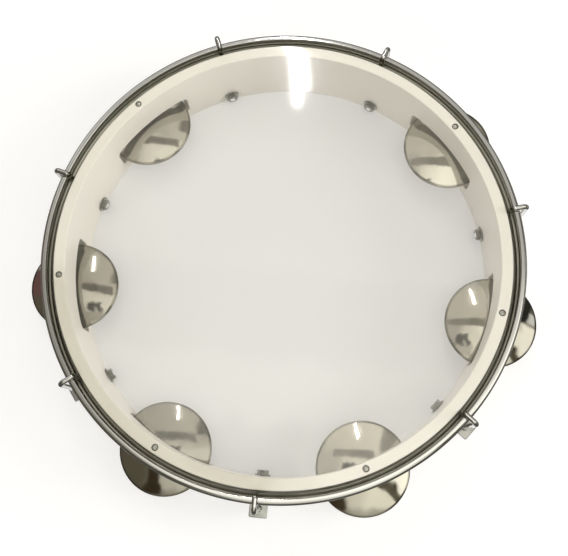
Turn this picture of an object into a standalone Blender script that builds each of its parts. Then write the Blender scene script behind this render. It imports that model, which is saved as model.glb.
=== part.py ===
"""Pandeiro, a hand-held frame drum with jingles.

The origin is the centre of the playing face, +Z points out of the head and +Y goes
through the middle of the grip bay, the one bay without jingles.
"""

from math import cos, pi, radians, sin

import bmesh
import bpy
from mathutils import Matrix, Vector

MM = 0.001
GAP = 0.3 * MM

# Shell: a plain moulded ring
SHELL_OUTER = 151.3 * MM
SHELL_INNER = 143.7 * MM
SHELL_TOP = -0.6 * MM
SHELL_BOTTOM = -52.7 * MM
SHELL_EDGE = 0.9 * MM

# Bays: one short bay for the hand, six longer ones with a jingle set each
GRIP_BAY = 43.2
JINGLE_BAY = 52.8
HOOKS = 7
JINGLE_SETS = 6

# Slots in the shell
SLOT_HALF_LENGTH = 32.4 * MM
SLOT_TOP = -25.2 * MM
SLOT_BOTTOM = -43.4 * MM
SLOT_CORNER = 3.5 * MM

# Film head
FILM = 0.3 * MM
FILM_FLAT = 150.4 * MM
FILM_SIDE = 152.1 * MM
COLLAR_TOP = -3.2 * MM
COLLAR_FOOT = -6.4 * MM
COLLAR_SIDE = 154.65 * MM
FILM_END = -10.6 * MM

# Flesh hoop: holds the film's edge in a groove
FLESH_INNER = 152.3 * MM
FLESH_OUTER = 158.2 * MM
FLESH_TOP = -6.8 * MM
FLESH_BOTTOM = -13.5 * MM
GROOVE_INNER = 153.9 * MM
GROOVE_OUTER = 155.1 * MM
GROOVE_FLOOR = -11.0 * MM

# Tension hoop
HOOP_OUTER = 160.0 * MM
HOOP_INNER = 156.2 * MM
HOOP_TOP = 1.0 * MM
HOOP_BOTTOM = -6.5 * MM
HOOP_EDGE = 1.2 * MM

# Hooks: a bent rod, its claw over the hoop and its leg through the bracket
ROD = 1.75 * MM
LEG_RADIUS = 164.2 * MM
CLAW_RADIUS = 154.15 * MM
CLAW_LEVEL = HOOP_TOP + GAP + ROD
CLAW_END = -3.6 * MM
LEG_END = -48.0 * MM
OUTER_BEND = 3.2 * MM
INNER_BEND = 2.2 * MM

# Brackets: bent plate, its leg on the shell and its flange pointing outward
PLATE = 1.5 * MM
PLATE_HALF_WIDTH = 6.0 * MM
PLATE_BACK = SHELL_OUTER + GAP
FLANGE_TIP = 170.0 * MM
FLANGE_TOP = -36.5 * MM
PLATE_FOOT = -51.5 * MM
PLATE_BEND = 1.0 * MM
PLATE_CORNER = 1.5 * MM
ROD_HOLE = 2.2 * MM

# Bracket screws and their flanged nuts
SCREW_LEVEL = -46.0 * MM
SCREW = 1.9 * MM
SCREW_HOLE = 2.25 * MM
SCREW_HEAD = 3.9 * MM
SCREW_HEAD_HEIGHT = 2.4 * MM
SCREW_TIP = 137.6 * MM
NUT_FLATS = 7.0 * MM
NUT_FACE = 143.25 * MM
NUT_FLANGE = 5.4 * MM
NUT_FLANGE_HEIGHT = 1.0 * MM
NUT_HEIGHT = 4.2 * MM

# Tension nuts
TENSION_NUT_HEIGHT = 5.0 * MM

# Jingle pins and cups
PIN_CIRCLE = 147.6 * MM
PIN = 1.5 * MM
PIN_HOLE = 1.60 * MM
PIN_HOLE_MOUTH = 2.0 * MM
PIN_TOP = -0.9 * MM
PIN_END = -49.7 * MM
PIN_HOLE_FLOOR = -50.0 * MM
CUP_RADIUS = 30.9 * MM
CUP_HEIGHT = 7.2 * MM
CUP_SHEET = 0.7 * MM
CUP_HOLE = 2.0 * MM
LOW_CUP_RIM = SLOT_BOTTOM + GAP + CUP_HEIGHT
TOP_CUP_RIM = LOW_CUP_RIM + GAP

RING_STEPS = 60
CUP_STEPS = 24
SCREW_STEPS = 12
PIN_SIDES = 12


def bay_edge(k):
    """Angle of hook k, counted from the grip bay's left side."""
    return radians(90 + GRIP_BAY / 2 + k * JINGLE_BAY)


def bay_middle(k):
    """Angle of jingle set k, in the middle of its bay."""
    return radians(90 + GRIP_BAY / 2 + (k + 0.5) * JINGLE_BAY)


def radial(angle, radius, level=0.0):
    return Vector((radius * cos(angle), radius * sin(angle), level))


def material(name, colour, roughness, metallic, alpha=1.0):
    mat = bpy.data.materials.new(name)
    mat.use_nodes = True
    shader = mat.node_tree.nodes["Principled BSDF"]
    shader.inputs["Base Color"].default_value = (*colour, 1.0)
    shader.inputs["Roughness"].default_value = roughness
    shader.inputs["Metallic"].default_value = metallic
    shader.inputs["Alpha"].default_value = alpha
    return mat


def finish(obj, mat, collection):
    """Puts a piece in its collection with its own material and smooth round faces."""
    obj.data.materials.append(mat)
    collection.objects.link(obj)


def mesh_object(name, bm):
    """An object from a bmesh, its faces pointing outward and smooth up to 35 degrees."""
    bmesh.ops.recalc_face_normals(bm, faces=bm.faces)
    data = bpy.data.meshes.new(name)
    bm.to_mesh(data)
    bm.free()
    data.shade_smooth()
    data.set_sharp_from_angle(angle=radians(35))
    return bpy.data.objects.new(name, data)


def cutter(name, bm, cutters):
    obj = mesh_object(name, bm)
    obj.display_type = "WIRE"
    obj.hide_render = True
    cutters.objects.link(obj)
    return obj


def cut(obj, tool, operation="DIFFERENCE"):
    mod = obj.modifiers.new(tool.name, "BOOLEAN")
    mod.operation = operation
    mod.solver = "EXACT"
    mod.object = tool


def corner(centre, radius, start, end, parts):
    """Points of an arc in the plane of a section, from one angle to another."""
    steps = [start + (end - start) * i / parts for i in range(parts + 1)]
    return [(centre[0] + radius * cos(a), centre[1] + radius * sin(a)) for a in steps]


def turned(name, section, steps, closed=True):
    """A section in the XZ plane, outer side first and from the top down, turned round Z."""
    data = bpy.data.meshes.new(name)
    points = [(x, 0.0, z) for x, z in section]
    edges = [(i, i + 1) for i in range(len(points) - 1)]
    if closed:
        edges.append((len(points) - 1, 0))
    data.from_pydata(points, edges, [])
    obj = bpy.data.objects.new(name, data)
    mod = obj.modifiers.new("turn", "SCREW")
    mod.axis = "Z"
    mod.steps = steps
    mod.render_steps = steps
    mod.use_merge_vertices = True
    mod.merge_threshold = 0.00001
    mod.use_smooth_shade = True
    return obj


def shell_section():
    e = SHELL_EDGE
    top, low = SHELL_TOP - e, SHELL_BOTTOM + e
    section = corner((SHELL_OUTER - e, top), e, pi / 2, 0, 2)
    section += corner((SHELL_OUTER - e, low), e, 0, -pi / 2, 1)
    section += corner((SHELL_INNER + e, low), e, -pi / 2, -pi, 1)
    section += corner((SHELL_INNER + e, top), e, pi, pi / 2, 2)
    return section


def film_section():
    """Flat face, rounded edge, straight side, sloping step, and the strip in the groove."""
    over = FILM_SIDE - FILM_FLAT
    centre = (FILM_FLAT, -over)
    outside = [(0.0, 0.0)]
    outside += corner(centre, over, pi / 2, 0, 2)
    outside += [(FILM_SIDE, COLLAR_TOP), (COLLAR_SIDE, COLLAR_FOOT), (COLLAR_SIDE, FILM_END)]
    inside = [(COLLAR_SIDE - FILM, FILM_END), (COLLAR_SIDE - FILM, COLLAR_FOOT - 0.1 * MM)]
    inside += [(FILM_SIDE - FILM, COLLAR_TOP - 0.1 * MM)]
    inside += corner(centre, over - FILM, 0, pi / 2, 2)
    return outside + inside + [(0.0, -FILM)]


def flesh_section():
    """A channel that is open upward, its inner lip a little lower than its outer one."""
    lip = FLESH_TOP - 0.6 * MM
    return [
        (FLESH_OUTER, FLESH_TOP),
        (FLESH_OUTER, FLESH_BOTTOM),
        (FLESH_INNER, FLESH_BOTTOM),
        (FLESH_INNER, lip),
        (GROOVE_INNER, lip),
        (GROOVE_INNER, GROOVE_FLOOR),
        (GROOVE_OUTER, GROOVE_FLOOR),
        (GROOVE_OUTER, FLESH_TOP),
    ]


def hoop_section():
    e = HOOP_EDGE
    section = corner((HOOP_OUTER - e, HOOP_TOP - e), e, pi / 2, 0, 2)
    section += corner((HOOP_OUTER - e, HOOP_BOTTOM + e), e, 0, -pi / 2, 1)
    section += [(HOOP_INNER, HOOP_BOTTOM)]
    section += corner((HOOP_INNER + e, HOOP_TOP - e), e, pi, pi / 2, 2)
    return section


def cup_section():
    """A dome of thin sheet with a pin hole in its crown, standing on its rim at level 0."""
    rise = CUP_HEIGHT - CUP_SHEET
    shares = [CUP_HOLE / CUP_RADIUS, 0.45, 0.78, 1.0]
    inside = [(CUP_RADIUS * s, rise * (1 - s**2)) for s in reversed(shares)]
    outside = [(x, z + CUP_SHEET) for x, z in reversed(inside)]
    return outside + inside


def extruded(outline, low, high, place):
    """A flat outline in the XZ plane made solid from one Y level to another."""
    bm = bmesh.new()
    verts = [bm.verts.new((x, low, z)) for x, z in outline]
    face = bm.faces.new(verts)
    grown = bmesh.ops.extrude_face_region(bm, geom=[face])
    moved = [v for v in grown["geom"] if isinstance(v, bmesh.types.BMVert)]
    bmesh.ops.translate(bm, verts=moved, vec=(0, high - low, 0))
    bmesh.ops.transform(bm, matrix=place, verts=bm.verts)
    return bm


def slot_outline():
    """Rounded rectangle: along the wall in X, up in Z."""
    c = SLOT_CORNER
    x = SLOT_HALF_LENGTH - c
    top, low = SLOT_TOP - c, SLOT_BOTTOM + c
    points = corner((x, top), c, pi / 2, 0, 2)
    points += corner((x, low), c, 0, -pi / 2, 2)
    points += corner((-x, low), c, -pi / 2, -pi, 2)
    points += corner((-x, top), c, pi, pi / 2, 2)
    return points


def cylinder(bm, radius, low, high, sides, place=None):
    depth = high - low
    shift = Matrix.Translation((0, 0, (low + high) / 2))
    matrix = shift if place is None else place @ shift
    bmesh.ops.create_cone(
        bm, cap_ends=True, segments=sides, radius1=radius, radius2=radius, depth=depth, matrix=matrix
    )


def outward(angle, level=0.0):
    """Frame on a radius: local Z points outward, local X up."""
    across = Matrix.Rotation(pi / 2, 4, "Y")
    return Matrix.Translation((0, 0, level)) @ Matrix.Rotation(angle, 4, "Z") @ across


def joined(parts):
    """One bmesh with the faces of several."""
    whole = bmesh.new()
    for bm in parts:
        data = bpy.data.meshes.new("join")
        bm.to_mesh(data)
        bm.free()
        whole.from_mesh(data)
        bpy.data.meshes.remove(data)
    return whole


def make_shell(mat, part, cutters):
    shell = turned("shell", shell_section(), RING_STEPS)
    slots = []
    holes = bmesh.new()
    mouths = bmesh.new()
    for k in range(JINGLE_SETS):
        angle = bay_middle(k)
        turn = Matrix.Rotation(angle - pi / 2, 4, "Z")
        slots.append(extruded(slot_outline(), SHELL_INNER - 12 * MM, SHELL_OUTER + 8 * MM, turn))
        place = Matrix.Translation(radial(angle, PIN_CIRCLE))
        cylinder(holes, PIN_HOLE, PIN_HOLE_FLOOR, 2 * MM, PIN_SIDES, place)
        mouth = 0.4 * MM
        bmesh.ops.create_cone(
            mouths,
            cap_ends=True,
            segments=PIN_SIDES,
            radius1=PIN_HOLE - 0.1 * MM,
            radius2=PIN_HOLE_MOUTH + mouth,
            depth=PIN_HOLE_MOUTH - PIN_HOLE + 0.1 * MM + mouth,
            matrix=place @ Matrix.Translation((0, 0, SHELL_TOP)),
        )
    screws = bmesh.new()
    for k in range(HOOKS):
        cylinder(screws, SCREW_HOLE, 130 * MM, 165 * MM, 12, outward(bay_edge(k), SCREW_LEVEL))
    cut(shell, cutter("slot_cutter", joined(slots), cutters))
    cut(shell, cutter("pin_hole_cutter", holes, cutters))
    cut(shell, cutter("pin_mouth_cutter", mouths, cutters))
    cut(shell, cutter("screw_hole_cutter", screws, cutters))
    finish(shell, mat, part)


def hook_path():
    """Centre line of the rod in the XZ plane, from the leg's end to the claw's tip."""
    top = CLAW_LEVEL
    path = [(LEG_RADIUS, LEG_END)]
    path += corner((LEG_RADIUS - OUTER_BEND, top - OUTER_BEND), OUTER_BEND, 0, pi / 2, 3)
    path += corner((CLAW_RADIUS + INNER_BEND, top - INNER_BEND), INNER_BEND, pi / 2, pi, 3)
    path.append((CLAW_RADIUS, CLAW_END))
    return path


def make_hook(k, mat, part):
    curve = bpy.data.curves.new(f"hook_{k + 1}", "CURVE")
    curve.dimensions = "3D"
    curve.bevel_depth = ROD
    curve.bevel_resolution = 2
    curve.use_fill_caps = True
    line = curve.splines.new("POLY")
    path = hook_path()
    line.points.add(len(path) - 1)
    for point, (x, z) in zip(line.points, path):
        point.co = (x, 0.0, z, 1.0)
    hook = bpy.data.objects.new(f"hook_{k + 1}", curve)
    hook.rotation_euler = (0, 0, bay_edge(k))
    finish(hook, mat, part)


def bracket_outline():
    """Section of the bent plate: leg on the shell, rounded bend, flange to its tip."""
    inner = PLATE_BEND
    outer = inner + PLATE
    front = PLATE_BACK + PLATE
    under = FLANGE_TOP - PLATE
    outline = [(PLATE_BACK, PLATE_FOOT)]
    outline += corner((PLATE_BACK + outer, FLANGE_TOP - outer), outer, pi, pi / 2, 3)
    outline += [(FLANGE_TIP, FLANGE_TOP), (FLANGE_TIP, under)]
    outline += corner((front + inner, under - inner), inner, pi / 2, pi, 2)
    outline.append((front, PLATE_FOOT))
    return outline


def round_plate_corners(bm):
    """Rounds the flange's two corners at its tip."""
    edges = []
    for edge in bm.edges:
        a, b = (v.co for v in edge.verts)
        upright = abs(a.z - b.z) > 1 * MM and abs(a.x - b.x) < 0.01 * MM and abs(a.y - b.y) < 0.01 * MM
        if upright and a.x > FLANGE_TIP - 0.1 * MM:
            edges.append(edge)
    bmesh.ops.bevel(bm, geom=edges, offset=PLATE_CORNER, segments=2, affect="EDGES", profile=0.5)


def make_bracket(k, mat, part, rod_tool, screw_tool):
    bm = extruded(bracket_outline(), -PLATE_HALF_WIDTH, PLATE_HALF_WIDTH, Matrix.Identity(4))
    round_plate_corners(bm)
    bracket = mesh_object(f"bracket_{k + 1}", bm)
    bracket.rotation_euler = (0, 0, bay_edge(k))
    cut(bracket, rod_tool)
    cut(bracket, screw_tool)
    finish(bracket, mat, part)


def make_tension_nut(k, mat, part, rod_tool):
    top = FLANGE_TOP - PLATE - GAP
    bm = bmesh.new()
    middle = Matrix.Translation((LEG_RADIUS, 0, 0))
    cylinder(bm, NUT_FLATS / 2 / cos(pi / 6), top - TENSION_NUT_HEIGHT, top, 6, middle)
    nut = mesh_object(f"tension_nut_{k + 1}", bm)
    nut.rotation_euler = (0, 0, bay_edge(k))
    cut(nut, rod_tool)
    finish(nut, mat, part)


def screw_section():
    """Low round head, then the shank, from the head's crown inward along -Z."""
    seat = PLATE_BACK + PLATE + GAP
    crown = seat + SCREW_HEAD_HEIGHT
    return [
        (0.0, crown),
        (SCREW_HEAD * 0.6, crown - 0.3 * MM),
        (SCREW_HEAD * 0.92, crown - 1.1 * MM),
        (SCREW_HEAD, seat),
        (SCREW, seat),
        (SCREW, SCREW_TIP + 0.5 * MM),
        (SCREW - 0.5 * MM, SCREW_TIP),
        (0.0, SCREW_TIP),
    ]


def place_outward(obj, k):
    obj.rotation_euler = (0, pi / 2, bay_edge(k))
    obj.location = (0, 0, SCREW_LEVEL)


def make_bracket_screw(k, mat, part, recess_tool):
    screw = turned(f"bracket_screw_{k + 1}", screw_section(), SCREW_STEPS, closed=False)
    place_outward(screw, k)
    cut(screw, recess_tool)
    finish(screw, mat, part)


def make_bracket_nut(k, mat, part, hex_tool, bore_tool):
    bm = bmesh.new()
    cylinder(bm, NUT_FLANGE, NUT_FACE - NUT_FLANGE_HEIGHT, NUT_FACE, 16)
    nut = mesh_object(f"bracket_nut_{k + 1}", bm)
    place_outward(nut, k)
    cut(nut, hex_tool, "UNION")
    cut(nut, bore_tool)
    finish(nut, mat, part)


def make_pin(k, mat, part):
    bm = bmesh.new()
    cylinder(bm, PIN, PIN_END, PIN_TOP, PIN_SIDES)
    pin = mesh_object(f"pin_{k + 1}", bm)
    pin.location = radial(bay_middle(k), PIN_CIRCLE)
    finish(pin, mat, part)


def make_cups(k, mat, part):
    top = turned(f"cup_top_{k + 1}", cup_section(), CUP_STEPS)
    top.location = radial(bay_middle(k), PIN_CIRCLE, TOP_CUP_RIM)
    finish(top, mat, part)
    low = turned(f"cup_low_{k + 1}", cup_section(), CUP_STEPS)
    low.location = radial(bay_middle(k), PIN_CIRCLE, LOW_CUP_RIM)
    low.rotation_euler = (pi, 0, 0)
    finish(low, mat, part)


def tool_at_each_hook(name, make, cutters):
    """One cutter for each hook angle, so that a cutter meets its own pieces only."""
    tools = []
    for k in range(HOOKS):
        bm = make()
        tool = cutter(f"{name}_{k + 1}", bm, cutters)
        tools.append(tool)
    return tools


def rod_tool_mesh():
    bm = bmesh.new()
    cylinder(bm, ROD_HOLE, -60 * MM, -20 * MM, 12, Matrix.Translation((LEG_RADIUS, 0, 0)))
    return bm


def screw_tool_mesh():
    bm = bmesh.new()
    cylinder(bm, SCREW_HOLE, 130 * MM, 165 * MM, 12)
    return bm


def hex_tool_mesh():
    bm = bmesh.new()
    high = NUT_FACE - NUT_FLANGE_HEIGHT / 2
    cylinder(bm, NUT_FLATS / 2 / cos(pi / 6), NUT_FACE - NUT_HEIGHT, high, 6)
    return bm


def recess_tool_mesh():
    """A straight blade across the screw's head."""
    crown = PLATE_BACK + PLATE + GAP + SCREW_HEAD_HEIGHT
    bm = bmesh.new()
    size = Matrix.Diagonal((1.0 * MM, 12 * MM, 2.0 * MM, 1.0))
    bmesh.ops.create_cube(bm, size=1.0, matrix=Matrix.Translation((0, 0, crown + 0.1 * MM)) @ size)
    return bm


def clear_scene():
    for obj in list(bpy.data.objects):
        bpy.data.objects.remove(obj)


def main():
    clear_scene()
    part = bpy.data.collections.new("pandeiro")
    cutters = bpy.data.collections.new("cutters")
    cutters.hide_render = True
    for collection in (part, cutters):
        bpy.context.scene.collection.children.link(collection)

    moulded = material("shell_plastic", (0.83, 0.80, 0.70), 0.35, 0.0)
    film = material("clear_film", (0.90, 0.90, 0.88), 0.08, 0.0, 0.2)
    channel = material("flesh_metal", (0.42, 0.40, 0.34), 0.40, 1.0)
    plated = material("plated_steel", (0.80, 0.80, 0.78), 0.12, 1.0)
    zinc = material("zinc_plate", (0.62, 0.63, 0.62), 0.32, 1.0)
    pinned = material("pin_steel", (0.50, 0.49, 0.45), 0.30, 1.0)
    jingle = material("jingle_metal", (0.66, 0.63, 0.55), 0.15, 1.0)

    make_shell(moulded, part, cutters)
    head = turned("head_film", film_section(), RING_STEPS, closed=False)
    finish(head, film, part)
    finish(turned("flesh_hoop", flesh_section(), RING_STEPS), channel, part)
    finish(turned("tension_hoop", hoop_section(), RING_STEPS), plated, part)

    rods = tool_at_each_hook("rod_cutter", rod_tool_mesh, cutters)
    screws = tool_at_each_hook("screw_cutter", screw_tool_mesh, cutters)
    hexes = tool_at_each_hook("hex_shape", hex_tool_mesh, cutters)
    slits = tool_at_each_hook("recess_cutter", recess_tool_mesh, cutters)
    for k in range(HOOKS):
        rods[k].rotation_euler = (0, 0, bay_edge(k))
        for tool in (screws[k], hexes[k], slits[k]):
            place_outward(tool, k)
        make_hook(k, plated, part)
        make_bracket(k, zinc, part, rods[k], screws[k])
        make_tension_nut(k, zinc, part, rods[k])
        make_bracket_screw(k, plated, part, slits[k])
        make_bracket_nut(k, zinc, part, hexes[k], screws[k])
    for k in range(JINGLE_SETS):
        make_pin(k, pinned, part)
        make_cups(k, jingle, part)


main()
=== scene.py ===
# %% [markdown]
# # A pandeiro, dressed round its packed CAD frame
#
# A pandeiro is a hand drum: a moulded ring, a clear head pulled down over it by a hoop with
# seven hooks, and six pairs of loose domed jingles in slots. The packed model already holds
# every piece at its real size. Here each piece is worked out again as a smooth surface with
# numpy, gets its finish from shader nodes, and rides on the body that carries it.
#
# Lengths are written in millimetres and turned into metres by `MM`.

# %% Load the frame
from math import cos, pi, radians, sin

import bmesh
import bpy
import numpy as np
from mathutils import Matrix, Vector


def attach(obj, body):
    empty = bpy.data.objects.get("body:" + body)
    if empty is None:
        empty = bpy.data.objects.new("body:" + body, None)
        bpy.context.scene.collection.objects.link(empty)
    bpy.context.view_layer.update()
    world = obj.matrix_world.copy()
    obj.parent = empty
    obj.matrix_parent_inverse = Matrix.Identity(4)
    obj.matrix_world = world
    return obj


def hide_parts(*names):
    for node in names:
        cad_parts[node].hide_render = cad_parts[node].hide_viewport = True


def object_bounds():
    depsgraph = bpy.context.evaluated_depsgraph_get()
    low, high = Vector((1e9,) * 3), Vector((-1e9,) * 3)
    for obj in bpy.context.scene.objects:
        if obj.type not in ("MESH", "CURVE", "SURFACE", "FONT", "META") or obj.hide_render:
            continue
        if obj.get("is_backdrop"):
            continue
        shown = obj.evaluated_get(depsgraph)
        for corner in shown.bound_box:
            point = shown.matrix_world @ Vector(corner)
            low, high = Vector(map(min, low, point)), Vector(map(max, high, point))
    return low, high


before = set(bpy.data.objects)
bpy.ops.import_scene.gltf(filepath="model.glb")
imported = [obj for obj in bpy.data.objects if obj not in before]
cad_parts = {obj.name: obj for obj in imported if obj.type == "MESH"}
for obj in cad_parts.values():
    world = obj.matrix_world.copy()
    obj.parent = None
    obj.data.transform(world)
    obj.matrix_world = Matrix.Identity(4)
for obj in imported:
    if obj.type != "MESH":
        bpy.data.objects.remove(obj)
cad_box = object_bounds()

MM = 0.001


def mm(values):
    """A list of millimetres as an array of metres."""
    return np.array(values) * MM


# %% [markdown]
# ## The camera first
#
# The picture looks down at the drum from a little in front of it. The place, the turn and the
# focal length below were found by matching pins, hooks and jingles, so that a piece which is
# right in the model is right in the picture too.

# %% Camera
def placed(name, data):
    """A new object in the scene, at the origin."""
    obj = bpy.data.objects.new(name, data)
    bpy.context.scene.collection.objects.link(obj)
    return obj


eye = bpy.data.cameras.new("eye")
eye.sensor_width, eye.lens = 36.0, 47.75
camera = placed("eye", eye)
camera.location = (35.4 * MM, -133.3 * MM, 476.1 * MM)
camera.rotation_euler = (radians(13.98), radians(2.4), radians(5.6))
bpy.context.scene.camera = camera
bpy.context.scene.view_settings.view_transform = "Standard"
print("camera", tuple(round(v, 3) for v in camera.location))

# %% [markdown]
# ## Where things are round the ring
#
# Seven hooks share the circle: one short bay for the hand at +Y, and six longer ones with a
# jingle pin in the middle of each. Everything that repeats is placed by these two angles.

# %% Angles of the hooks and the jingle sets
GRIP_BAY, JINGLE_BAY = 43.2, 52.8
HOOKS, SETS = 7, 6
hook_angles = np.radians(90 + GRIP_BAY / 2 + JINGLE_BAY * np.arange(HOOKS))
set_angles = np.radians(90 + GRIP_BAY / 2 + JINGLE_BAY * (np.arange(SETS) + 0.5))
PIN_CIRCLE = 147.6 * MM
print("hooks at", np.degrees(hook_angles).round(1), "sets at", np.degrees(set_angles).round(1))

# %% [markdown]
# ## From a grid of points to a mesh
#
# Almost every piece here is a grid: one direction runs along a profile, the other round an
# axis or along a path. So one helper numbers the squares of a grid, and another puts one or
# more grids together, welds their shared edges and turns all faces outward.

# %% Helpers: grids and meshes
def squares(points, wrap_rows=False, wrap_columns=False):
    """A grid of points as (points, squares).

    In words: point (i, j) has the number i times the row length plus j, and a square joins
    (i, j), (i+1, j), (i+1, j+1) and (i, j+1). A wrapped direction goes on to its start.
    """
    rows, columns = points.shape[:2]
    i = np.arange(rows if wrap_rows else rows - 1)[:, None]
    j = np.arange(columns if wrap_columns else columns - 1)[None, :]
    down, right = (i + 1) % rows, (j + 1) % columns
    corners = (i * columns + j, down * columns + j, down * columns + right, i * columns + right)
    faces = np.stack(np.broadcast_arrays(*corners), -1).reshape(-1, 4)
    return points.reshape(-1, 3), faces


def smoothed(mesh, sharp):
    """The mesh shaded smooth, but for edges that turn by more than some degrees."""
    mesh.shade_smooth()
    mesh.set_sharp_from_angle(angle=radians(sharp))
    return mesh


def points_of(mesh):
    """A mesh's points as an array."""
    place = np.empty(len(mesh.vertices) * 3, np.float32)
    mesh.vertices.foreach_get("co", place)
    return place.reshape(-1, 3)


WELD = 2e-6


def welded(name, patches, sharp, own=None):
    """One closed mesh from several (points, squares), faces outward, smooth but for sharp edges.

    own, where given, moves each point's place on its own axis into the attribute "own".
    """
    starts = np.cumsum([0] + [len(p) for p, _ in patches])
    points = np.concatenate([p for p, _ in patches])
    faces = np.concatenate([f + s for (_, f), s in zip(patches, starts)])
    mesh = bpy.data.meshes.new(name)
    mesh.from_pydata(points.tolist(), [], faces.tolist())
    bm = bmesh.new()
    bm.from_mesh(mesh)
    bmesh.ops.remove_doubles(bm, verts=bm.verts, dist=WELD)
    bmesh.ops.recalc_face_normals(bm, faces=bm.faces)
    bm.to_mesh(mesh)
    bm.free()
    smoothed(mesh, sharp)
    if own is not None:
        local = points_of(mesh) - np.asarray(own, np.float32)
        layer = mesh.attributes.new("own", "FLOAT_VECTOR", "POINT")
        layer.data.foreach_set("vector", local.ravel())
    return mesh


def with_values(mesh, name, values):
    """Stores one number for each point of a mesh, for its material to read."""
    layer = mesh.attributes.new(name, "FLOAT", "POINT")
    layer.data.foreach_set("value", np.asarray(values, np.float32))


def piece(mesh, material, body, *nodes, slot=None):
    """Puts a mesh in the scene as the piece that stands for some CAD nodes."""
    obj = placed(mesh.name, mesh)
    mesh.materials.clear()
    mesh.materials.append(material)
    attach(obj, body)
    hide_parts(*nodes)


def cut_away(mesh, tool, sharp):
    """The mesh with a closed tool mesh cut out of it by an exact Boolean, applied."""
    carrier, helper = placed("carrier", mesh), placed("tool", tool)
    cutting = carrier.modifiers.new("cut", "BOOLEAN")
    cutting.operation, cutting.solver, cutting.object = "DIFFERENCE", "EXACT", helper
    bpy.context.view_layer.update()
    depsgraph = bpy.context.evaluated_depsgraph_get()
    result = bpy.data.meshes.new_from_object(carrier.evaluated_get(depsgraph))
    for used in (helper, carrier):
        bpy.data.objects.remove(used)
    name, mesh.name = mesh.name, "uncut"
    result.name = name
    return smoothed(result, sharp)


print("a grid of 3 by 4 points has", len(squares(np.zeros((3, 4, 3)))[1]), "squares")

# %% [markdown]
# ## Sections with rounded corners
#
# Real edges are never knife sharp: a small round catches the light and draws the line that we
# see. A section is written as the few corners of a polygon and one radius for each corner.

# %% Helpers: rounded sections and paths
def rounded(corners, radii, parts=6, closed=True):
    """A polygon or open line whose corners are arcs.

    In words: the arc at a corner touches both sides at radius / tan(half angle) from it, and
    its centre lies on the bisector at radius / sin(half angle). Between the two touching
    points the direction from the centre turns evenly.
    """
    p = np.asarray(corners, float)
    r = np.broadcast_to(np.asarray(radii, float), len(p))[:, None]
    to_last, to_next = np.roll(p, 1, 0) - p, np.roll(p, -1, 0) - p
    u = to_last / np.linalg.norm(to_last, axis=1, keepdims=True)
    v = to_next / np.linalg.norm(to_next, axis=1, keepdims=True)
    half = np.arccos(np.clip((u * v).sum(1, keepdims=True), -1, 1)) / 2
    touch = r / np.tan(half)
    bisector = (u + v) / np.maximum(np.linalg.norm(u + v, axis=1, keepdims=True), 1e-12)
    centre = p + bisector * r / np.sin(half)
    first, last = p + u * touch - centre, p + v * touch - centre
    turn = pi - 2 * half[:, :, None]
    t = np.linspace(0, 1, parts + 1)[None, :, None]
    whole = np.maximum(np.sin(turn), 1e-9)
    arc = (np.sin((1 - t) * turn) * first[:, None] + np.sin(t * turn) * last[:, None]) / whole
    arcs = centre[:, None] + arc
    if not closed:
        arcs[0], arcs[-1] = p[0], p[-1]
    return arcs.reshape(-1, 2)


def all_round(steps):
    """Evenly spread angles round a circle, as a column."""
    return np.linspace(0, 2 * pi, steps, endpoint=False)[:, None]


def spun(radius, angle, height):
    """Points at x = radius cos(angle), y = radius sin(angle) and z = height."""
    x, y = radius * np.cos(angle), radius * np.sin(angle)
    return np.stack(np.broadcast_arrays(x, y, height), -1)


def ring(section, steps, centre=(0.0, 0.0)):
    """A (radius, height) section carried round an upright axis."""
    radius, height = np.asarray(section).T
    return spun(radius, all_round(steps), height) + np.array([*centre, 0.0])


def turned_about_z(points, angle):
    """Points turned round the upright axis through the drum's centre."""
    c, s = cos(angle), sin(angle)
    return points @ np.array([[c, s, 0], [-s, c, 0], [0, 0, 1]])


def pointing_outward(points, angle, level):
    """Points of a piece built along +Z, laid so that its axis points out of the drum."""
    laid = np.stack([points[..., 2], points[..., 1], -points[..., 0] + level], -1)
    return turned_about_z(laid, angle)


square = [[0, 0], [1, 0], [1, 1], [0, 1]]
print("a square with rounded corners has", len(rounded(square, 0.2)), "points")

# %% [markdown]
# ## Shared finishes, as node groups
#
# A finish is rarely one value. Hairline scratches, a soft smear of hand grease and a slow
# change of tone are used by several materials, so each is a group with named sockets. A group
# gives out only masks and heights; the shader itself stays in the material.

# %% Helpers: values that nodes work out
class Value:
    """What a node puts out. A sum, product or comparison with it adds a Math node, so a
    formula for a material reads like any other formula."""

    def __init__(self, words, socket):
        self.words, self.socket = words, socket

    def joined(operation):
        """A method that joins a value to another one through a Math node."""
        return lambda self, other: self.words.math(operation, self, other)

    __add__, __radd__ = joined("ADD"), joined("ADD")
    __mul__, __rmul__ = joined("MULTIPLY"), joined("MULTIPLY")
    __sub__, __truediv__ = joined("SUBTRACT"), joined("DIVIDE")
    __gt__, __lt__ = joined("GREATER_THAN"), joined("LESS_THAN")

    def __rsub__(self, other):
        return self.words.math("SUBTRACT", other, self)


class Node:
    """A node whose outputs are values, by name or number."""

    def __init__(self, words, node):
        self.words, self.inputs, self.outputs = words, node.inputs, node.outputs

    def __getitem__(self, output):
        return Value(self.words, self.outputs[output])


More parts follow.
